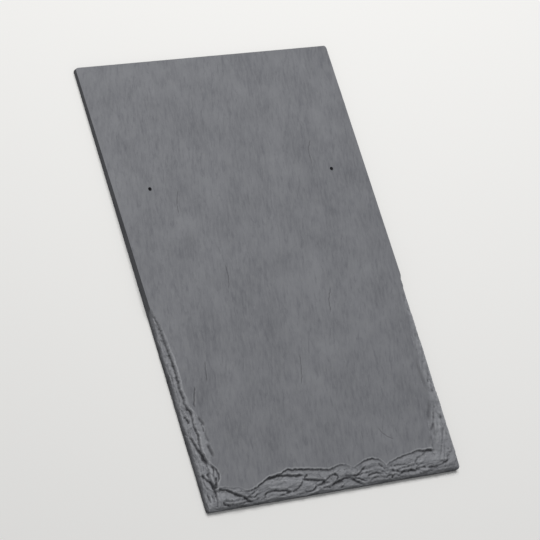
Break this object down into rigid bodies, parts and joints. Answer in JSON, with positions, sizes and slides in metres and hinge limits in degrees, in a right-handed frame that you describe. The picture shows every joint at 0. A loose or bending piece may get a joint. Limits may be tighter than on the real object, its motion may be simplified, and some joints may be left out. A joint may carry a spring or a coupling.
{
  "type": "slate roof tile",
  "caption": "Moulded composite roof slate: a thin wedge with a chipped, bevelled butt and lower sides, a riven weather face, nail holes and a ribbed back.",
  "frame": {"origin": "middle of the tile's footprint, on the plane of its back", "axes": "+X along the course, +Y up the slope from butt to head, +Z out of the weather face"},
  "size_m": [0.305, 0.457, 0.0118],
  "materials": {
    "slate": "matte dark grey composite, moulded with a fine riven grain"
  },
  "bodies": {
    "root": {"slate_tile": "slate"}
  },
  "joints": []
}
